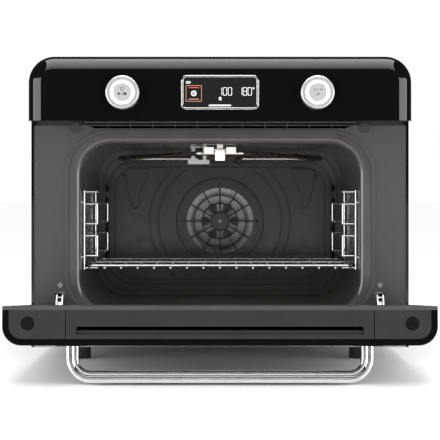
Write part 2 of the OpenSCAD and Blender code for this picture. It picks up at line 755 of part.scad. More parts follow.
// One side ladder: wall posts, and for each rack level a pair of runners with their front and rear rungs
module ladder() {
    levels = [for (k = [0 : level_count - 1], g = [0, 1]) level_z0 + k * level_pitch + g * level_gap];
    for (y = [ladder_y0, ladder_y1]) {
        rod([ladder_out_x, y, level_z0 - 2], [ladder_out_x, y, levels[len(levels) - 1] + 2], ladder_wire);
        for (k = [0 : 1 : level_count - 2])
            rod([ladder_in_x, y, levels[2 * k + 1]], [ladder_in_x, y, levels[2 * k + 2]], ladder_wire);
        for (z = ladder_fixing_z) rod([ladder_out_x, y, z], [mouth_w / 2, y, z], ladder_wire + 2);
    }
    for (z = levels) {
        rod([ladder_in_x, ladder_y0 - 0.3, z], [ladder_in_x, ladder_y1 + 0.3, z], runner_wire);
        for (y = [ladder_y0, ladder_y1])
            rod([ladder_in_x - 0.3, y, z], [ladder_out_x, y, z], runner_wire + 0.1);
    }
}

module right_ladder() color("silver") ladder();
module left_ladder() color("silver") mirror([1, 0, 0]) ladder();

// Round bars through the side walls, where the ladders are held
module ladder_fixings(r) both_sides() for (y = [ladder_y0, ladder_y1], z = ladder_fixing_z)
    translate([mouth_w / 2, y, z]) rotate([0, 90, 0]) cylinder(h = sheet_t + 3, r = r);

module ladder_screws() color("silver") ladder_fixings(1.5);

module wire_rack() color("silver") translate([0, 0, rack_z]) {
    y0 = rack_front_y;
    y1 = rack_front_y + rack_d;
    bent_bar([[0, y0], [rail_x, y0], [rail_x, y1], [-rail_x, y1], [-rail_x, y0], [0.01, y0]], 6)
        circle(d = rack_wire);
    count = floor((rail_x - 12) / rack_pitch);
    for (i = [-count : count])
        rod([i * rack_pitch, y0 - 1.2, -2.5], [i * rack_pitch, y1 + 1.2, -2.5], rack_wire - 1.2);
    rod([-rail_x, (y0 + y1) / 2, 0], [rail_x, (y0 + y1) / 2, 0], rack_wire - 0.4);
}

module insulation() color("khaki") difference() {
    slab(blanket_y0, blanket_y1) translate([-blanket_half_w, foot_h + 26])
        square([2 * blanket_half_w, mouth_z1 + 13.5 - foot_h - 26]);
    slab(blanket_y0 - 1, chamber_y + sheet_t + 0.1) mouth_outline(sheet_t + 0.1);
    translate([-floor_half_w - 12, blanket_y0 - 1, mouth_z0 - sheet_t - heater_dia - 1.5])
        cube([2 * floor_half_w + 24, blanket_y1 - blanket_y0 + 2, heater_dia + 4]);
    peg(0, fan_z, 33, chamber_y, blanket_y1 + 1);
    for (x = heater_exits_x) peg(x, grill_exit_z, heater_dia / 2 + 2, chamber_y, blanket_y1 + 1);
    both_sides() peg(ring_leg_x, ring_leg_z, heater_dia / 2 + 2, chamber_y, blanket_y1 + 1);
    ladder_fixings(2.5);
}

// ---- Cooling air ----

module cooling_duct() color("silver") difference() {
    y0 = front_y + frame_t + 10;
    y1 = rotor_y + rotor_r + 12;
    union() {
        translate([-outlet_half_w, y0, duct_z0]) cube([2 * outlet_half_w, y1 - y0, duct_z1 - duct_z0]);
        translate([0, rotor_y, duct_z1 - 1]) cylinder(h = rotor_h + 7, r = rotor_r + 6);
    }
    translate([1 - outlet_half_w, y0 - 1, duct_z0 + 1])
        cube([2 * outlet_half_w - 2, y1 - y0, duct_z1 - duct_z0 - 2]);
    translate([0, rotor_y, duct_z0 + 2]) cylinder(h = duct_z1 - duct_z0 + rotor_h + 3, r = rotor_r + 5);
    translate([0, rotor_y, duct_z1]) cylinder(h = rotor_h + 8, r = 22);
}

module cooling_rotor() color("silver") translate([0, rotor_y, duct_z1 + 1]) {
    cylinder(h = 1, r = rotor_r);
    for (a = [0 : 18 : 342]) rotate([0, 0, a]) translate([rotor_r - 5, 0, rotor_h / 2])
        rotate([0, 0, 50]) cube([10, 1, rotor_h - 1], center = true);
    translate([0, 0, rotor_h - 1]) difference() {
        cylinder(h = 1, r = rotor_r);
        translate([0, 0, -1]) cylinder(h = 3, r = rotor_r - 9);
    }
    cylinder(h = rotor_h - 2, r = 9);
    cylinder(h = rotor_h + 14, r = 3);
}

module cooling_motor() color("dimgray") translate([0, rotor_y, duct_z1 + rotor_h + 6]) difference() {
    union() {
        cylinder(h = 22, r = 26);
        cylinder(h = 2, r = 34);
    }
    translate([0, 0, -1]) cylinder(h = 14, r = 3 + running);
}

// ---- Hinges ----

arm_knee = [front_y - 1, hinge_z + arm_rise];

// Side view of an arm: from the pin up to the knee and straight back into the casing
module arm_outline() {
    pin = [hinge_y, hinge_z];
    translate(pin) circle(arm_half);
    translate(arm_knee) circle(arm_half);
    translate(pin) rotate([0, 0, heading(pin, arm_knee)]) translate([0, -arm_half])
        square([norm(arm_knee - pin), 2 * arm_half]);
    translate([arm_knee.x, arm_knee.y - arm_half]) square([arm_end_y - arm_knee.x, 2 * arm_half]);
}

// U-shaped arm, open towards the front and the top, with rivets between its two sides
module hinge_arm() {
    difference() {
        along_x(hinge_x - arm_w / 2, hinge_x + arm_w / 2) arm_outline();
        along_x(hinge_x - arm_w / 2 + arm_leg, hinge_x + arm_w / 2 - arm_leg)
            translate([-arm_leg, arm_leg]) arm_outline();
        translate([hinge_x - 10, hinge_y, hinge_z]) rotate([0, 90, 0]) cylinder(h = 20, r = pin_r + running);
    }
    for (p = [arm_knee, arm_knee + [14, 0]])
        translate([hinge_x - arm_w / 2 + 0.5, p.x, p.y]) rotate([0, 90, 0]) cylinder(h = arm_w - 1, r = 2);
}

module right_hinge_arm() color("silver") hinge_arm();
module left_hinge_arm() color("silver") mirror([1, 0, 0]) hinge_arm();

module hinge_receivers() color("silver") both_sides() {
    y0 = front_y + frame_t + sheet_t;
    difference() {
        translate([hinge_x - 7, y0, hinge_z + arm_rise - 9]) cube([14, arm_end_y - y0 + 4, 34]);
        translate([hinge_x - arm_w / 2, y0 - 1, hinge_z + arm_rise - arm_half])
            cube([arm_w, arm_end_y - y0 + 1, 2 * arm_half]);
        translate([hinge_x - 5.5, y0 + 14, hinge_z + arm_rise + arm_half + 2])
            cube([11, arm_end_y - y0 - 20, 20]);
        peg(hinge_x, hinge_screw_z, 2, y0 - 1, y0 + 8);
    }
    screw(hinge_x, hinge_screw_z, 3.4, 2, front_y, frame_t + sheet_t + 8, 1.2);
}

// ---- Door ----

// Swings what stands shut down to the open position
module opened() translate([0, hinge_y, hinge_z]) rotate([open_angle, 0, 0])
    translate([0, -hinge_y, -hinge_z]) children();

// Door seen from above: flat back and rounded front edges
module door_plan(inset) {
    t = door_t - inset;
    translate([0, door_back]) intersection() {
        union() {
            translate([inset - body_w / 2, door_nose_r - door_t])
                square([body_w - 2 * inset, door_t - door_nose_r]);
            translate([door_nose_r - body_w / 2, -t]) square([body_w - 2 * door_nose_r, t]);
            for (s = [-1, 1]) translate([s * (body_w / 2 - door_nose_r), door_nose_r - door_t])
                circle(door_nose_r - inset);
        }
        translate([-body_w / 2, -t]) square([body_w, t]);
    }
}

// Door seen from the side: the back of its lower edge is round about the hinge axis
module door_side(z1) {
    translate([door_front, hinge_z]) square([door_t, z1 - hinge_z]);
    translate([hinge_y, hinge_z]) circle(hinge_reach);
    translate([door_front + sill_r, door_z0]) square([hinge_y - door_front - sill_r, hinge_reach + 1]);
    translate([door_front, door_z0 + sill_r]) square([door_t - hinge_reach, hinge_reach]);
    translate([door_front + sill_r, door_z0 + sill_r]) circle(sill_r);
}
sill_r = 10;

module door_envelope() intersection() {
    translate([0, 0, door_z0 - 1]) linear_extrude(door_z1 - door_z0 + 1) door_plan(0);
    along_x(-body_w / 2, body_w / 2) door_side(door_z1);
}

module window_outline(grow) translate([0, window_z])
    round_rect(window_w + 2 * grow, window_h + 2 * grow, window_r + grow);

module hinge_slots() both_sides() translate([hinge_x - slot_w / 2, hinge_y - 10, door_z0 - 1])
    cube([slot_w, hinge_reach + 11, slot_z1 - door_z0 + 1]);

module door_shell_solid() difference() {
    intersection() {
        door_envelope();
        translate([-body_w, door_front - 1, 0]) cube([2 * body_w, plate_y - door_front + 1, body_h]);
    }
    translate([0, 0, door_z0 + door_wall]) linear_extrude(body_h) intersection() {
        door_plan(door_wall);
        translate([-body_w / 2, door_front]) square([body_w, plate_y - door_front + 1]);
    }
    slab(door_front - 1, shell_inner_y + 1) window_outline(0);
    slab(door_front - 1, door_front + glass_t) window_outline(glass_rim);
    hinge_slots();
    both_sides() peg(handle_post_x, handle_z, 3, door_front - 1, shell_inner_y + 1);
}

module door_shell() color("black") opened() door_shell_solid();

module door_inner_frame() color("dimgray") opened() difference() {
    intersection() {
        door_envelope();
        translate([-body_w, plate_y, 0]) cube([2 * body_w, door_t, body_h]);
    }
    slab(plate_y - 1, door_back + 1) window_outline(glass_rim + 6);
    hinge_slots();
}

module outer_glass() color([0.05, 0.05, 0.05, 0.6]) opened()
    slab(door_front, door_front + glass_t) window_outline(glass_rim - 0.2);

module middle_glass() color([0.3, 0.35, 0.35, 0.4]) opened()
    slab(middle_y - middle_t / 2, middle_y + middle_t / 2) translate([0, window_z])
        square([window_w + 12, window_h - 6], center = true);

module inner_glass() color([0.3, 0.35, 0.35, 0.4]) opened()
    slab(plate_y, plate_y + glass_t) window_outline(glass_rim + 5.8);

spacer_x = window_w / 2 + 3;
module glass_spacers() color("silver") opened() both_sides() difference() {
    translate([spacer_x, shell_inner_y, window_z - window_h / 2 + 4])
        cube([7, plate_y - shell_inner_y, window_h - 8]);
    translate([spacer_x - 1, middle_y - middle_t / 2, window_z - window_h / 2 + 3])
        cube([4, middle_t, window_h - 6]);
}

end_seam_x = body_w / 2 - 72.5;
module end_cap_outline(x0, x1) intersection() {
    door_plan(door_wall);
    translate([x0, door_front]) square([x1 - x0, plate_y - door_front]);
}

// End of the door: two corner blocks, and a middle piece with a vent slot in a shallow recess
module door_end_cap() color("dimgray") opened() translate([0, 0, door_z1 - end_cap_t]) {
    difference() {
        linear_extrude(end_cap_t) end_cap_outline(-end_seam_x + 0.4, end_seam_x - 0.4);
        translate([0, door_back - 28, end_cap_t]) cube([2 * end_seam_x - 24, 9.2, 7], center = true);
        translate([0, door_back - 25.6, 0]) cube([2 * end_seam_x - 24, 4.4, 3 * end_cap_t], center = true);
    }
    both_sides() linear_extrude(end_cap_t) difference() {
        end_cap_outline(end_seam_x + 0.4, body_w / 2);
        translate([plug_x, plug_y]) circle(plug_r);
    }
}

plug_r = 8;
plug_x = body_w / 2 - 29;
plug_y = door_back - 20;
module end_cap_plugs() color("black") opened() both_sides()
    translate([plug_x, plug_y, door_z1 - end_cap_t]) cylinder(h = end_cap_t, r = plug_r);

module hinge_case_solid() difference() {
    half = slot_w / 2 + case_wall;
    translate([hinge_x - half, shell_inner_y, door_z0 + door_wall])
        cube([2 * half, plate_y - shell_inner_y, case_h]);
    translate([hinge_x - slot_w / 2, shell_inner_y + case_wall, door_z0])
        cube([slot_w, door_t, case_h - case_wall + door_wall]);
    translate([hinge_x - 20, hinge_y, hinge_z]) rotate([0, 90, 0]) cylinder(h = 40, r = pin_r);
}

module right_hinge_case() color("silver") opened() hinge_case_solid();
module left_hinge_case() color("silver") opened() mirror([1, 0, 0]) hinge_case_solid();

module hinge_pins() color("silver") opened() both_sides()
    translate([hinge_x - slot_w / 2 - case_wall, hinge_y, hinge_z]) rotate([0, 90, 0])
        cylinder(h = slot_w + 2 * case_wall, r = pin_r);

handle_post_x = handle_w / 2 - 6.8;

// Section of the handle: a broad outer band and a narrower inner band
module handle_section() {
    translate([2.3, 0]) round_rect(9, 19, 3.2);
    translate([-3.6, 0]) round_rect(6.4, 14, 2.4);
}

module handle() color("silver") opened() translate([0, 0, handle_z])
    bent_bar([[-handle_post_x, door_front - 1.5], [-handle_post_x, door_front - handle_reach + 6.8],
        [handle_post_x, door_front - handle_reach + 6.8], [handle_post_x, door_front - 1.5]], 21)
        handle_section();

module handle_bases() color("black") opened() both_sides() translate([handle_post_x + 2, 0, handle_z])
    slab(door_front - 1.5, door_front) difference() {
        round_rect(36, base_h, 12);
        translate([-2, 0]) circle(3);
    }

module handle_screws() color("silver") opened() both_sides() {
    peg(handle_post_x, handle_z, 3, door_front - 1.5, shell_inner_y);
    peg(handle_post_x, handle_z, 5.5, shell_inner_y, shell_inner_y + 4);
}

outer_wrap();
fascia();
display_bezel();
display_glass();
display_board();
dial_bases();
light_rings();
encoders();
control_board();
front_frame();
plinth();
air_outlet_grille();
door_gasket();
frame_bumpers();
cavity_liner();
rear_baffle();
fan_guard();
baffle_screws();
ring_heater();
fan_motor();
grill_element();
grill_bracket();
element_insulators();
floor_heater();
cavity_probe();
left_ladder();
right_ladder();
ladder_screws();
insulation();
cooling_duct();
cooling_motor();
base_pan();
rear_panel();
rear_screws();
cable_gland();
feet();
left_hinge_arm();
right_hinge_arm();
hinge_receivers();
door_shell();
door_inner_frame();
outer_glass();
middle_glass();
inner_glass();
glass_spacers();
door_end_cap();
end_cap_plugs();
left_hinge_case();
right_hinge_case();
hinge_pins();
handle();
handle_bases();
handle_screws();
wire_rack();
left_dial();
right_dial();
left_button();
right_button();
fan_impeller();
cooling_rotor();
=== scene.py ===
"""Looks of a countertop oven with its door open: finishes, marks, screws, beads, light and camera.

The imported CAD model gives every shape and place. Lengths are metres in the model's own frame, and the
sizes in millimetres are written with MM or say so.
"""

import math

import bmesh
import bpy
from mathutils import Matrix, Vector

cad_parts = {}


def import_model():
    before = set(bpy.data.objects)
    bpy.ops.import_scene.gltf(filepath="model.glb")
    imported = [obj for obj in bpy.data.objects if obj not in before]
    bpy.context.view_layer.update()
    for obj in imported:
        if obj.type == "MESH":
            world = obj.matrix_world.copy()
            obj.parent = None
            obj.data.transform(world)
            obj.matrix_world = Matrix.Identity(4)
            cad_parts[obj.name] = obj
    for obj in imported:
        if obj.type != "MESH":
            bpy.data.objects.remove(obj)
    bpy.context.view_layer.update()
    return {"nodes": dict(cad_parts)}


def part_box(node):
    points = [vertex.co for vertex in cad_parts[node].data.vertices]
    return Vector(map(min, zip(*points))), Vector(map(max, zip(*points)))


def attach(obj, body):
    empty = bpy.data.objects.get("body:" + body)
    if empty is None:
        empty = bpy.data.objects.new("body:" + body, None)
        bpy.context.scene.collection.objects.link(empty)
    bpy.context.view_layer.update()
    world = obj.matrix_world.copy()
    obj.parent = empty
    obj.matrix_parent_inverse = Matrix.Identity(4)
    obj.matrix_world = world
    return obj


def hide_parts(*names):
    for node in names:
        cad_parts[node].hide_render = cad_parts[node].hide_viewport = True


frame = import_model()

MM = 0.001

# Camera
EYE = Vector((0, -2.033, 0.225))
LENS = 121.7
SENSOR = 36
HORIZON_SHIFT = -0.064

# Sheet of light over the object, which only gloss shows: its size, where it starts and ends in degrees
# forwards from straight above, and its brightness at its highest and lowest edge
CANOPY_RADIUS = 1.25
CANOPY_HALF_WIDTH = 0.8
CANOPY_START, CANOPY_END = -25, 62
CANOPY_HIGH, CANOPY_LOW = 6.0, 1.8
CANOPY_STEPS = 24

# Brightness of the surroundings: for what lights the object, for the eye and for what gloss reflects
DIFFUSE_WORLD = 1.0
EYE_WORLD = 1.0
GLOSS_WORLD = 0.03

SCREW_HEAD_H = 1.6 * MM

# How far the rim of the fan's intake stands out of the rear wall
INTAKE_RIM_PROUD = 1.4 * MM

# Funnel stamped in the rear wall: corners in millimetres from the middle and down from the wall's top edge
FUNNEL_CORNERS = [(148, 28), (107, 28), (121, 62), (123, 88), (133, 88), (140, 62)]
FUNNEL_CORNER_R = 6 * MM
FUNNEL_BEAD_R = 1.1 * MM

# Printed and lit marks stand this far out of the surface, and are sunk this deep in it
MARK_PROUD = 0.06 * MM
MARK_SUNK = 0.1 * MM


# ---- Finishes ----


class Finish:
    """One procedural material: a Principled shader and the textures that vary it."""

    def __init__(self, name, colour, roughness, metallic=0.0, **sockets):
        self.material = bpy.data.materials.get(name) or bpy.data.materials.new(name)
        self.material.use_nodes = True
        self.tree = self.material.node_tree
        self.tree.nodes.clear()
        output = self.tree.nodes.new("ShaderNodeOutputMaterial")
        self.shader = self.node("BsdfPrincipled", **sockets)
        self.shader.inputs["Base Color"].default_value = (*colour, 1)
        self.shader.inputs["Roughness"].default_value = roughness
        self.shader.inputs["Metallic"].default_value = metallic
        self.tree.links.new(self.shader.outputs[0], output.inputs[0])
        self.coords = self.node("TexCoord").outputs["Object"]

    def node(self, kind, **inputs):
        """A shader node; an input is named with _ for a space, and is a value or another node's output."""
        made = self.tree.nodes.new("ShaderNode" + kind)
        for name, value in inputs.items():
            socket = made.inputs[name.replace("_", " ")]
            if isinstance(value, bpy.types.NodeSocket):
                self.tree.links.new(value, socket)
            else:
                socket.default_value = value
        return made

    def math(self, operation, a, b=0.0):
        made = self.node("Math")
        made.operation = operation
        for socket, value in zip(made.inputs, (a, b)):
            if isinstance(value, bpy.types.NodeSocket):
                self.tree.links.new(value, socket)
            else:
                socket.default_value = value
        return made.outputs[0]

    def stretched(self, stretch):
        """The coordinates with features stretched by that factor along each axis."""
        return self.node("Mapping", Vector=self.coords, Scale=[1 / s for s in stretch]).outputs[0]

    def noise(self, size, stretch=(1, 1, 1), detail=3.0, distortion=0.0, vector=None):
        """Smooth noise with features of that size."""
        if vector is None:
            vector = self.stretched(stretch)
        made = self.node("TexNoise", Vector=vector, Scale=1 / size, Detail=detail, Distortion=distortion)
        return made.outputs["Fac"]

    def cells(self, size, output="Color", feature="F1", stretch=(1, 1, 1)):
        """Irregular cells of that size."""
        made = self.node("TexVoronoi", Vector=self.stretched(stretch), Scale=1 / size)
        made.feature = feature
        return made.outputs[output]

    def spread(self, value, low, high, start=0.3, end=0.7):
        """Maps start..end of a value to low..high."""
        made = self.node("MapRange", Value=value)
        for name, number in (("From Min", start), ("From Max", end), ("To Min", low), ("To Max", high)):
            made.inputs[name].default_value = number
        return made.outputs[0]

    def ramp(self, value, *stops):
        """Colours along a value, as (place, colour) stops."""
        made = self.node("ValToRGB", Fac=value)
        stop_list = made.color_ramp.elements
        while len(stop_list) < len(stops):
            stop_list.new(0.5)
        for element, (place, colour) in zip(stop_list, stops):
            element.position = place
            element.color = (*colour, 1)
        return made.outputs[0]

    def colour(self, value):
        self.tree.links.new(value, self.shader.inputs["Base Color"])
        return self

    def rough(self, value):
        self.tree.links.new(value, self.shader.inputs["Roughness"])
        return self

    def bump(self, height, depth, strength=1.0):
        """Relief of that depth, on top of any bump made before it."""
        made = self.node("Bump", Height=height, Distance=depth, Strength=strength)
        before = self.shader.inputs["Normal"].links
        if before:
            self.tree.links.new(before[0].from_socket, made.inputs["Normal"])
        self.tree.links.new(made.outputs[0], self.shader.inputs["Normal"])
        return self

    def glow(self, colour, strength):
        self.shader.inputs["Emission Color"].default_value = (*colour, 1)
        self.shader.inputs["Emission Strength"].default_value = strength
        return self


def grey(value):
    return (value, value, value)


def gloss_black():
    """High gloss enamel with a trace of orange peel."""
    f = Finish("gloss_black", grey(0.0025), 0.05, IOR=1.42)
    f.rough(f.spread(f.noise(9 * MM), 0.035, 0.075))
    f.bump(f.noise(7 * MM, detail=1), 0.02 * MM)


def grey_enamel():
    """Satin enamel with fine speckle."""
    f = Finish("grey_enamel", grey(0.05), 0.42, IOR=1.45)
    speckle = f.noise(0.5 * MM, detail=2)
    f.colour(f.ramp(speckle, (0.35, (0.031, 0.031, 0.032)), (0.65, (0.041, 0.041, 0.042))))
    f.rough(f.spread(f.noise(25 * MM), 0.34, 0.46))
    f.bump(f.noise(0.7 * MM), 0.02 * MM, 0.6)


def cavity_enamel():
    """Glossy enamel with small pale flecks, fired a little unevenly."""
    f = Finish("cavity_enamel", grey(0.04), 0.2, IOR=1.55)
    base = f.ramp(f.noise(60 * MM), (0.3, (0.038, 0.036, 0.035)), (0.7, (0.052, 0.050, 0.048)))
    fleck = f.spread(f.cells(1.6 * MM, "Distance"), 1.0, 0.0, 0.10, 0.16)
    f.colour(f.node("MixRGB", Fac=fleck, Color1=base, Color2=(0.15, 0.15, 0.155, 1)).outputs[0])
    f.rough(f.spread(f.noise(12 * MM), 0.14, 0.24))
    f.bump(f.noise(5 * MM, detail=1), 0.02 * MM)


def chrome():
    """Polished chrome with hairline wiping marks."""
    f = Finish("chrome", grey(0.78), 0.14, 1.0)
    hairs = f.noise(0.5 * MM, stretch=(24, 6, 6), detail=2)
    f.rough(f.spread(hairs, 0.12, 0.18))
    f.bump(hairs, 0.0015 * MM, 0.4)


def dial_radius(f, across, height):
    """Distance from the nearer dial's axis, so that turned marks run round it."""
    parts = f.node("SeparateXYZ", Vector=f.coords).outputs
    dx = f.math("SUBTRACT", f.math("ABSOLUTE", parts["X"]), across)
    dz = f.math("SUBTRACT", parts["Z"], height)
    return f.math("SQRT", f.math("ADD", f.math("MULTIPLY", dx, dx), f.math("MULTIPLY", dz, dz)))


def brushed():
    """Steel turned on a lathe: fine rings round each dial's axis."""
    f = Finish("brushed", grey(0.6), 0.4, 0.9)
    low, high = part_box("right_dial")
    radius = dial_radius(f, (low.x + high.x) / 2, (low.z + high.z) / 2)
    line = f.node("CombineXYZ", X=radius).outputs[0]
    rings = f.noise(0.25 * MM, vector=line, detail=2)
    f.colour(f.ramp(rings, (0.3, grey(0.50)), (0.7, grey(0.66))))
    f.rough(f.spread(rings, 0.34, 0.48))
    f.bump(rings, 0.012 * MM, 0.6)


def galvanised():
    """Zinc-coated sheet with its spangle."""
    f = Finish("galvanised", grey(0.45), 0.45, 1.0)
    spangle = f.node("SeparateColor", Color=f.cells(7 * MM)).outputs[0]
    f.colour(f.ramp(spangle, (0.0, (0.34, 0.35, 0.36)), (1.0, (0.52, 0.53, 0.54))))
    f.rough(f.spread(spangle, 0.3, 0.46, 0, 1))
    f.bump(f.noise(1.5 * MM), 0.01 * MM, 0.5)


def heater():
    """Steel tube with straw and blue heat tints."""
    f = Finish("heater", (0.62, 0.6, 0.57), 0.3, 1.0)
    tint = f.noise(45 * MM, detail=1)
    f.colour(f.ramp(tint, (0.3, (0.66, 0.65, 0.63)), (0.55, (0.62, 0.57, 0.50)), (0.75, (0.50, 0.52, 0.56))))
    grain = f.noise(4 * MM, detail=2)
    f.rough(f.spread(grain, 0.24, 0.34))
    f.bump(f.noise(0.8 * MM, detail=1), 0.002 * MM, 0.4)


def screw_steel():
    """Plated steel with small turning marks."""
    f = Finish("screw_steel", (0.62, 0.62, 0.6), 0.3, 1.0)
    stain = f.noise(2.5 * MM)
    f.colour(f.ramp(stain, (0.3, (0.56, 0.56, 0.54)), (0.7, (0.70, 0.70, 0.68))))
    f.rough(f.spread(f.noise(0.3 * MM), 0.24, 0.38))


def light_ring():
    """Frosted sleeve, lit from behind."""
    f = Finish("light_ring", grey(0.9), 0.5)
    frost = f.noise(0.4 * MM)
    f.rough(f.spread(frost, 0.42, 0.6))
    f.bump(frost, 0.01 * MM)
    f.glow((1.0, 1.0, 1.0), 0.55)


def moulded(name, colour, grain, roughness, depth=0.02 * MM, shine=0.5):
    """Moulded plastic, rubber or silicone with an even grain and slightly uneven sheen."""
    f = Finish(name, colour, roughness, IOR=1.46, Specular_IOR_Level=shine)
    cloud = f.noise(30 * MM)
    f.colour(f.ramp(cloud, (0.3, [c * 0.88 for c in colour]), (0.7, [c * 1.1 for c in colour])))
    f.rough(f.spread(f.noise(6 * MM), roughness - 0.06, roughness + 0.06))
    f.bump(f.noise(grain), depth)


def board_green():
    """Solder mask over copper tracks, with tinned pads."""
    f = Finish("board_green", (0.02, 0.12, 0.05), 0.35)
    tracks = f.cells(3.2 * MM, "Distance", "DISTANCE_TO_EDGE", stretch=(1, 1, 20))
    f.colour(f.ramp(tracks, (0.05, (0.035, 0.20, 0.08)), (0.12, (0.014, 0.10, 0.04))))
    f.rough(f.spread(tracks, 0.28, 0.42, 0, 0.2))
    f.bump(f.spread(tracks, 1.0, 0.0, 0.05, 0.12), 0.03 * MM)


def ceramic():
    """White fired ceramic, slightly mottled."""
    f = Finish("ceramic", (0.9, 0.89, 0.86), 0.32)
    f.colour(f.ramp(f.noise(4 * MM), (0.3, (0.84, 0.82, 0.78)), (0.7, (0.93, 0.92, 0.90))))
    f.bump(f.noise(0.8 * MM), 0.02 * MM)


def wool():
    """Mineral wool: matted fibres."""
    f = Finish("wool", (0.62, 0.55, 0.36), 0.95)
    fibres = f.noise(1.2 * MM, stretch=(6, 6, 1), detail=5, distortion=1.5)
    f.colour(f.ramp(fibres, (0.3, (0.44, 0.37, 0.20)), (0.7, (0.72, 0.65, 0.46))))
    f.bump(fibres, 0.8 * MM)
    f.shader.inputs["Sheen Weight"].default_value = 0.3


def screen_glass():
    """Black screen glass with faint finger smears."""
    f = Finish("screen_glass", grey(0.010), 0.06, IOR=1.45)
    f.rough(f.spread(f.noise(11 * MM, detail=4, distortion=0.6), 0.04, 0.12))


def glass(name, colour, smear):
    """Toughened glass, with finger smears in its roughness."""
    f = Finish(name, colour, 0.02, IOR=1.5, Transmission_Weight=1.0)
    f.rough(f.spread(f.noise(22 * MM, detail=4, distortion=0.8), 0.0, smear))


def lit_mark(name, colour, strength):
    """A lit segment of the display, a little uneven."""
    f = Finish(name, colour, 0.5)
    glow = f.noise(1.2 * MM)
    f.colour(f.ramp(glow, (0.2, [c * 0.8 for c in colour]), (0.8, colour)))
    f.glow(colour, strength)
    return f.material


def print_mark(name, colour):
    """Pad-printed ink."""
    f = Finish(name, colour, 0.55)
    f.colour(f.ramp(f.noise(0.4 * MM), (0.3, [c * 0.8 for c in colour]), (0.7, [c * 1.2 for c in colour])))
    f.bump(f.noise(0.2 * MM), 0.01 * MM)
    return f.material


def make_finishes():
    """Every material slot of the CAD model."""
    gloss_black()
    grey_enamel()
    cavity_enamel()
    chrome()
    brushed()
    galvanised()
    heater()
    screw_steel()
    light_ring()
    moulded("black_plastic", (0.004, 0.004, 0.004), 0.5 * MM, 0.24, 0.004 * MM, shine=0.15)
    moulded("grey_plastic", (0.014, 0.014, 0.014), 0.6 * MM, 0.46, shine=0.3)
    moulded("rubber", (0.02, 0.02, 0.02), 0.8 * MM, 0.7, 0.04 * MM)
    moulded("gasket", (0.03, 0.03, 0.03), 0.7 * MM, 0.6, 0.04 * MM)
    board_green()
    ceramic()
    wool()
    screen_glass()
    glass("dark_glass", (0.02, 0.02, 0.022), 0.04)
    glass("clear_glass", (0.82, 0.88, 0.87), 0.03)


# ---- Mesh building ----


def cross_plan(half_width, reach):
    """Outline of an upright cross about the origin."""
    plan, quarter = [], [(half_width, half_width), (half_width, reach), (-half_width, reach)]
    for _ in range(4):
        plan += quarter
        quarter = [(-y, x) for x, y in quarter]
    return plan


def mesh_of(name, bm):
    """A mesh of built geometry, which is freed."""
    mesh = bpy.data.meshes.new(name)
    bm.to_mesh(mesh)
    bm.free()
    return mesh


def linked(name, data):
    """A new object in the scene."""
    obj = bpy.data.objects.new(name, data)
    bpy.context.scene.collection.objects.link(obj)
    return obj


def smooth_by_angle(obj, degrees):
    """Smooth shading, with the sharp edges kept."""
    mesh = obj.data
    mesh.polygons.foreach_set("use_smooth", [True] * len(mesh.polygons))
    mesh.set_sharp_from_angle(angle=math.radians(degrees))


def piece(name, bm, material, body):
    """Turns built geometry into a piece of the object that rides on a body."""
    bmesh.ops.recalc_face_normals(bm, faces=bm.faces)
    obj = linked(name, mesh_of(name, bm))
    obj.data.materials.append(material)
    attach(obj, body)
    return obj


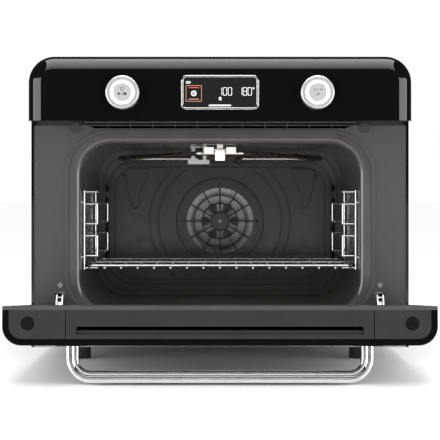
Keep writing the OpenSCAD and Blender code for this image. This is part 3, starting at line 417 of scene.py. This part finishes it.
class Marks:
    """Thin marks on a face that looks forwards, in millimetres from the face's centre."""

    def __init__(self, x, y, z):
        self.bm = bmesh.new()
        self.place = Vector((x, y, z))

    def plate(self, outline):
        """A flat mark with that outline."""
        rings = []
        for depth in (-MARK_PROUD, MARK_SUNK):
            corners = [self.place + Vector((x * MM, depth, z * MM)) for x, z in outline]
            rings.append([self.bm.verts.new(c) for c in corners])
        self.bm.faces.new(rings[0])
        self.bm.faces.new(rings[1][::-1])
        for i in range(len(outline)):
            j = (i + 1) % len(outline)
            self.bm.faces.new((rings[0][i], rings[1][i], rings[1][j], rings[0][j]))

    def bar(self, x, z, w, h):
        """A rectangle about a centre."""
        corners = ((-1, -1), (1, -1), (1, 1), (-1, 1))
        self.plate([(x + sx * w / 2, z + sz * h / 2) for sx, sz in corners])

    def arc(self, x, z, r, line, start=0, end=360, steps=28):
        """A ring, or an arc of one, line wide."""
        inner, outer = r - line / 2, r + line / 2
        angles = [math.radians(start + (end - start) * i / steps) for i in range(steps + 1)]
        closed = end - start == 360
        if closed:
            angles.pop()

        def loop(reach, depth):
            places = [((x + reach * math.cos(a)) * MM, depth, (z + reach * math.sin(a)) * MM) for a in angles]
            return [self.bm.verts.new(self.place + Vector(place)) for place in places]

        front_in, back_in = loop(inner, -MARK_PROUD), loop(inner, MARK_SUNK)
        front_out, back_out = loop(outer, -MARK_PROUD), loop(outer, MARK_SUNK)
        count = len(angles)
        for i in range(count if closed else count - 1):
            j = (i + 1) % count
            self.bm.faces.new((front_in[i], front_in[j], front_out[j], front_out[i]))
            self.bm.faces.new((back_in[i], back_out[i], back_out[j], back_in[j]))
            self.bm.faces.new((front_out[i], front_out[j], back_out[j], back_out[i]))
            self.bm.faces.new((front_in[i], back_in[i], back_in[j], front_in[j]))
        if not closed:
            for i in (0, count - 1):
                self.bm.faces.new((front_in[i], front_out[i], back_out[i], back_in[i]))

    def frame(self, x, z, w, h, line):
        """A rectangular outline about a centre."""
        for s in (-1, 1):
            self.bar(x, z + s * (h - line) / 2, w, line)
            self.bar(x + s * (w - line) / 2, z, line, h - 2 * line)

    def digit(self, x, z, lit, w=4.6, h=9.8, line=0.55):
        """A seven-segment digit about a centre; lit names its segments a to g."""
        reach = line / 2
        across = w / 2 - SEGMENT_GAP
        half = h / 4 - SEGMENT_GAP
        level = [(-across, 0), (-across + reach, -reach), (across - reach, -reach),
                 (across, 0), (across - reach, reach), (-across + reach, reach)]
        upright = [(0, -half), (reach, -half + reach), (reach, half - reach),
                   (0, half), (-reach, half - reach), (-reach, -half + reach)]
        places = {
            "a": (level, 0, h / 2), "g": (level, 0, 0), "d": (level, 0, -h / 2),
            "f": (upright, -w / 2, h / 4), "b": (upright, w / 2, h / 4),
            "e": (upright, -w / 2, -h / 4), "c": (upright, w / 2, -h / 4),
        }
        for name, (outline, dx, dz) in places.items():
            if name in lit:
                self.plate([(x + dx + px, z + dz + pz) for px, pz in outline])

    def done(self, name, material, body):
        return piece(name, self.bm, material, body)


# Lit segments of each digit, and the gap between two segments in millimetres
SEGMENTS = {"0": "abcdef", "1": "bc", "8": "abcdefg"}
SEGMENT_GAP = 0.12


def front_centre(node):
    """The middle of a node's front face."""
    low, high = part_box(node)
    return (low.x + high.x) / 2, low.y, (low.z + high.z) / 2


def display_marks():
    """Time, temperature and function symbols on the display."""
    centre = front_centre("display_glass")
    white = Marks(*centre)
    for text, first, pitch in (("100", 0, 6.4), ("180", 26, 6.2)):
        for i, number in enumerate(text):
            white.digit(first + pitch * i, 1.4, SEGMENTS[number])
    white.arc(43.2, 5.4, 0.9, 0.5, steps=16)
    white.bar(0, -16.7, 28.5, 1.7)
    white.frame(0.2, -8.7, 3.0, 2.4, 0.5)
    white.plate([(-1.9, -7.3), (2.3, -7.3), (0.2, -5.5)])
    for x in (-42.4, -39.4):
        white.arc(x, 13, 1.3, 0.5, steps=16)
    white.arc(-33.8, -1.2, 3.0, 0.9)
    white.arc(-33.8, -1.2, 0.9, 0.7, steps=14)
    lit_white = lit_mark("lit_white", (0.78, 0.8, 0.82), 0.45)
    white.done("display_symbols", lit_white, "oven")
    amber = Marks(*centre)
    amber.frame(-33.8, -1.2, 20.4, 20.7, 0.55)
    amber.bar(-33.8, -8.6, 13, 0.9)
    lit_amber = lit_mark("lit_amber", (0.42, 0.20, 0.13), 0.35)
    amber.done("display_function_frame", lit_amber, "oven")
    red = Marks(*centre)
    red.bar(-33.8, 6.3, 13, 0.9)
    lit_red = lit_mark("lit_red", (0.5, 0.05, 0.03), 0.4)
    red.done("display_heat_bar", lit_red, "oven")


def button_marks():
    """Start and stop symbols on the left button; less, more and set symbols on the right one."""
    ink = print_mark("printed_ink", grey(0.03))
    left = Marks(*front_centre("left_button"))
    left.arc(0, 4.6, 2.4, 0.8, 125, 415)
    left.bar(0, 6.6, 0.8, 2.8)
    left.plate([(-5.6, -4.4), (-1.5, -2.1), (-5.6, 0.2)])
    left.bar(0, -2.1, 0.6, 4.8)
    left.bar(3.6, -2.1, 3.6, 3.6)
    left.done("start_stop_symbols", ink, "left_button")
    right = Marks(*front_centre("right_button"))
    right.bar(-4.2, 3.2, 3.0, 0.75)
    right.plate([(-1.1, 1.6), (-0.4, 1.6), (1.1, 4.8), (0.4, 4.8)])
    right.plate([(4.2 + x, 3.2 + z) for x, z in cross_plan(0.375, 1.5)])
    right.plate([(-2.6, -2.6), (-0.6, -4.6), (3.0, -1.0), (2.4, -0.4), (-0.6, -3.4), (-2.0, -2.0)])
    right.done("set_symbols", ink, "right_button")


# ---- Screws ----


def islands(node):
    """Box of each separate solid in a CAD node, as (lowest, highest) corners."""
    bm = bmesh.new()
    bm.from_mesh(frame["nodes"][node].data)
    bmesh.ops.remove_doubles(bm, verts=bm.verts, dist=0.001 * MM)
    left = set(bm.verts)
    boxes = []
    while left:
        group, waiting = set(), [left.pop()]
        while waiting:
            vert = waiting.pop()
            group.add(vert)
            for edge in vert.link_edges:
                other = edge.other_vert(vert)
                if other in left:
                    left.discard(other)
                    waiting.append(other)
        points = [v.co for v in group]
        boxes.append((Vector(map(min, zip(*points))), Vector(map(max, zip(*points)))))
    bm.free()
    return boxes


def cross_cutter(reach, depth):
    """Tapered cross that cuts a screw's recess; its wide end is just over z 0 and it goes down."""
    bm = bmesh.new()
    plan = cross_plan(reach * 0.15, reach)
    rings = []
    for z, share in ((0.2 * MM, 1.05), (-depth, 0.6)):
        rings.append([bm.verts.new((x * share, y * share, z)) for x, y in plan])
    bm.faces.new(rings[0][::-1])
    bm.faces.new(rings[1])
    for i in range(len(plan)):
        j = (i + 1) % len(plan)
        bm.faces.new((rings[0][i], rings[0][j], rings[1][j], rings[1][i]))
    bmesh.ops.recalc_face_normals(bm, faces=bm.faces)
    return mesh_of("cross_cutter", bm)


def screw_mesh(head_r, head_h, shank_r, length):
    """Pan-head screw with a cross recess. Its head's top is at z 0 and the shank goes down."""
    profile = [(0, -length), (shank_r * 0.75, -length), (shank_r, -length + shank_r * 0.5),
               (shank_r, -head_h), (head_r, -head_h), (head_r, -head_h * 0.55),
               (head_r * 0.93, -head_h * 0.25), (head_r * 0.78, -head_h * 0.06), (head_r * 0.6, 0), (0, 0)]
    bm = bmesh.new()
    verts = [bm.verts.new((r, 0, z)) for r, z in profile]
    edges = [bm.edges.new(pair) for pair in zip(verts, verts[1:])]
    bmesh.ops.spin(bm, geom=verts + edges, axis=(0, 0, 1), cent=(0, 0, 0), angle=2 * math.pi, steps=36)
    bmesh.ops.remove_doubles(bm, verts=bm.verts, dist=0.001 * MM)
    bmesh.ops.recalc_face_normals(bm, faces=bm.faces)
    body = linked("screw", mesh_of("screw", bm))
    cutter = linked("cross_cutter", cross_cutter(head_r * 0.55, head_h * 0.8))
    cut = body.modifiers.new("recess", "BOOLEAN")
    cut.object = cutter
    cut.solver = "EXACT"
    graph = bpy.context.evaluated_depsgraph_get()
    made = bpy.data.meshes.new_from_object(body.evaluated_get(graph))
    bpy.data.objects.remove(body)
    bpy.data.objects.remove(cutter)
    return made


def detailed_screws(node, towards, slot):
    """Replaces a CAD node of plain screws with ones that have a cross recess, heads towards that side."""
    bm = bmesh.new()
    axis = Vector(towards)
    for i, (low, high) in enumerate(islands(node)):
        size = high - low
        centre = (low + high) / 2
        head_r = min(size.x, size.z) / 2
        mesh = screw_mesh(head_r, SCREW_HEAD_H, head_r * 0.5, size.y)
        top = centre + axis * size.y / 2
        turn = axis.to_track_quat("Z", "Y").to_matrix().to_4x4() @ Matrix.Rotation(0.7 * i, 4, "Z")
        mesh.transform(Matrix.Translation(top) @ turn)
        bm.from_mesh(mesh)
        bpy.data.meshes.remove(mesh)
    obj = piece(node + "_detailed", bm, bpy.data.materials[slot], "oven")
    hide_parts(node)
    smooth_by_angle(obj, 35)


# ---- Rear wall ----


def rounded(points, radius, steps=6):
    """A closed outline with its corners rounded off."""
    outline = []
    for before, corner, after in zip(points[-1:] + points[:-1], points, points[1:] + points[:1]):
        start = corner + (before - corner).normalized() * radius
        end = corner + (after - corner).normalized() * radius
        for i in range(steps + 1):
            t = i / steps
            outline.append(start * (1 - t) ** 2 + corner * 2 * t * (1 - t) + end * t ** 2)
    return outline


def funnel_beads():
    """Stamped funnel outlines high on both sides of the rear wall, half sunk in it."""
    low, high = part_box("rear_baffle")
    wall = low.y + INTAKE_RIM_PROUD
    for side, name in ((-1, "left"), (1, "right")):
        points = [Vector((side * x * MM, wall, high.z - drop * MM)) for x, drop in FUNNEL_CORNERS]
        curve = bpy.data.curves.new("funnel", "CURVE")
        curve.dimensions = "3D"
        curve.bevel_depth = FUNNEL_BEAD_R
        curve.bevel_resolution = 3
        outline = rounded(points, FUNNEL_CORNER_R)
        spline = curve.splines.new("POLY")
        spline.points.add(len(outline) - 1)
        for point, place in zip(spline.points, outline):
            point.co = (*place, 1)
        spline.use_cyclic_u = True
        drawn = linked("funnel", curve)
        mesh = bpy.data.meshes.new_from_object(drawn.evaluated_get(bpy.context.evaluated_depsgraph_get()))
        bpy.data.objects.remove(drawn)
        bm = bmesh.new()
        bm.from_mesh(mesh)
        bpy.data.meshes.remove(mesh)
        obj = piece(name + "_funnel_bead", bm, bpy.data.materials["cavity_enamel"], "oven")
        smooth_by_angle(obj, 60)


# ---- Stage ----


def floor():
    """Plain pale floor."""
    bm = bmesh.new()
    bmesh.ops.create_circle(bm, cap_ends=True, segments=96, radius=30)
    obj = linked("floor", mesh_of("floor", bm))
    f = Finish("floor", grey(0.97), 0.65, Specular_IOR_Level=0.0)
    obj.data.materials.append(f.material)


def world():
    """White surroundings for the eye, soft even light, and a darker studio for what the gloss reflects."""
    made = bpy.data.worlds.new("studio")
    bpy.context.scene.world = made
    made.use_nodes = True
    tree = made.node_tree
    tree.nodes.clear()
    output = tree.nodes.new("ShaderNodeOutputWorld")
    rays = tree.nodes.new("ShaderNodeLightPath")
    mix_gloss = tree.nodes.new("ShaderNodeMixShader")
    mix_eye = tree.nodes.new("ShaderNodeMixShader")

    def background(strength):
        node = tree.nodes.new("ShaderNodeBackground")
        node.inputs["Color"].default_value = (*grey(1.0), 1)
        node.inputs["Strength"].default_value = strength
        return node.outputs[0]

    tree.links.new(rays.outputs["Is Diffuse Ray"], mix_gloss.inputs[0])
    tree.links.new(background(GLOSS_WORLD), mix_gloss.inputs[1])
    tree.links.new(background(DIFFUSE_WORLD), mix_gloss.inputs[2])
    tree.links.new(rays.outputs["Is Camera Ray"], mix_eye.inputs[0])
    tree.links.new(mix_gloss.outputs[0], mix_eye.inputs[1])
    tree.links.new(background(EYE_WORLD), mix_eye.inputs[2])
    tree.links.new(mix_eye.outputs[0], output.inputs[0])


def softbox(name, centre, aim, width, height, radiance, mirrored=False, spread=180):
    """Rectangular light that looks at a point; spread is in degrees, and mirrored lets gloss show it."""
    light = bpy.data.lights.new(name, "AREA")
    light.shape = "RECTANGLE"
    light.size = width
    light.size_y = height
    light.energy = radiance * math.pi * width * height
    light.spread = math.radians(spread)
    obj = linked(name, light)
    obj.location = centre
    obj.rotation_euler = (Vector(aim) - Vector(centre)).to_track_quat("-Z", "Y").to_euler()
    obj.visible_camera = False
    obj.visible_glossy = mirrored


def canopy(top):
    """Curved sheet of light from overhead down to high in front, brightest overhead."""
    bm = bmesh.new()
    rows = []
    for i in range(CANOPY_STEPS + 1):
        a = math.radians(CANOPY_START + (CANOPY_END - CANOPY_START) * i / CANOPY_STEPS)
        centre = top + Vector((0, -CANOPY_RADIUS * math.sin(a), CANOPY_RADIUS * math.cos(a)))
        rows.append([bm.verts.new(centre + Vector((side * CANOPY_HALF_WIDTH, 0, 0))) for side in (-1, 1)])
    for (a, b), (c, d) in zip(rows, rows[1:]):
        bm.faces.new((a, b, d, c))
    obj = linked("canopy", mesh_of("canopy", bm))
    f = Finish("canopy", grey(0.0), 1.0)
    height = f.node("SeparateXYZ", Vector=f.coords).outputs["Z"]
    lowest = top.z + CANOPY_RADIUS * math.cos(math.radians(CANOPY_END))
    strength = f.spread(height, CANOPY_LOW, CANOPY_HIGH, lowest, top.z + CANOPY_RADIUS)
    f.tree.links.new(strength, f.shader.inputs["Emission Strength"])
    f.shader.inputs["Emission Color"].default_value = (1, 1, 1, 1)
    obj.data.materials.append(f.material)
    obj.visible_camera = False
    obj.visible_diffuse = False


def lights():
    """Soft light from above and both sides, a low one for the floor under the door, and one in the cavity."""
    low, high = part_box("fascia")
    top = Vector((0, low.y, high.z))
    canopy(top)
    softbox("overhead", top + Vector((0, -0.25, 1.2)), top, width=1.0, height=1.1, radiance=6.0)
    softbox("high_front", top + Vector((0, -1.15, 0.75)), top, width=1.0, height=0.7, radiance=3.0)
    for side, name in ((-1, "left"), (1, "right")):
        beside = top + Vector((side * 1.35, -0.72, -0.1))
        softbox(name + "_side", beside, top, width=1.55, height=0.8, radiance=5.5, mirrored=True)
    under_door = Vector((0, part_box("handle")[0].y, 0.0))
    in_front = under_door + Vector((0, -1.1, 0.14))
    softbox("low_front", in_front, under_door, width=1.9, height=0.26, radiance=2.2)
    low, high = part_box("grill_element")
    inside = Vector((0, (low.y + high.y) / 2 - 0.08, low.z - 0.003))
    below = inside - Vector((0, 0, 0.1))
    softbox("cavity_fill", inside, below, width=0.28, height=0.14, radiance=0.8, spread=90)


def camera():
    """Long lens, level with the middle of the object, its picture shifted down."""
    data = bpy.data.cameras.new("camera")
    data.lens = LENS
    data.sensor_width = SENSOR
    data.shift_y = HORIZON_SHIFT
    obj = linked("camera", data)
    obj.location = EYE
    obj.rotation_euler = (math.pi / 2, 0, 0)
    bpy.context.scene.camera = obj


make_finishes()
display_marks()
button_marks()
detailed_screws("baffle_screws", (0, -1, 0), "cavity_enamel")
detailed_screws("rear_screws", (0, 1, 0), "screw_steel")
funnel_beads()
floor()
world()
lights()
camera()
bpy.context.scene.view_settings.view_transform = "Standard"
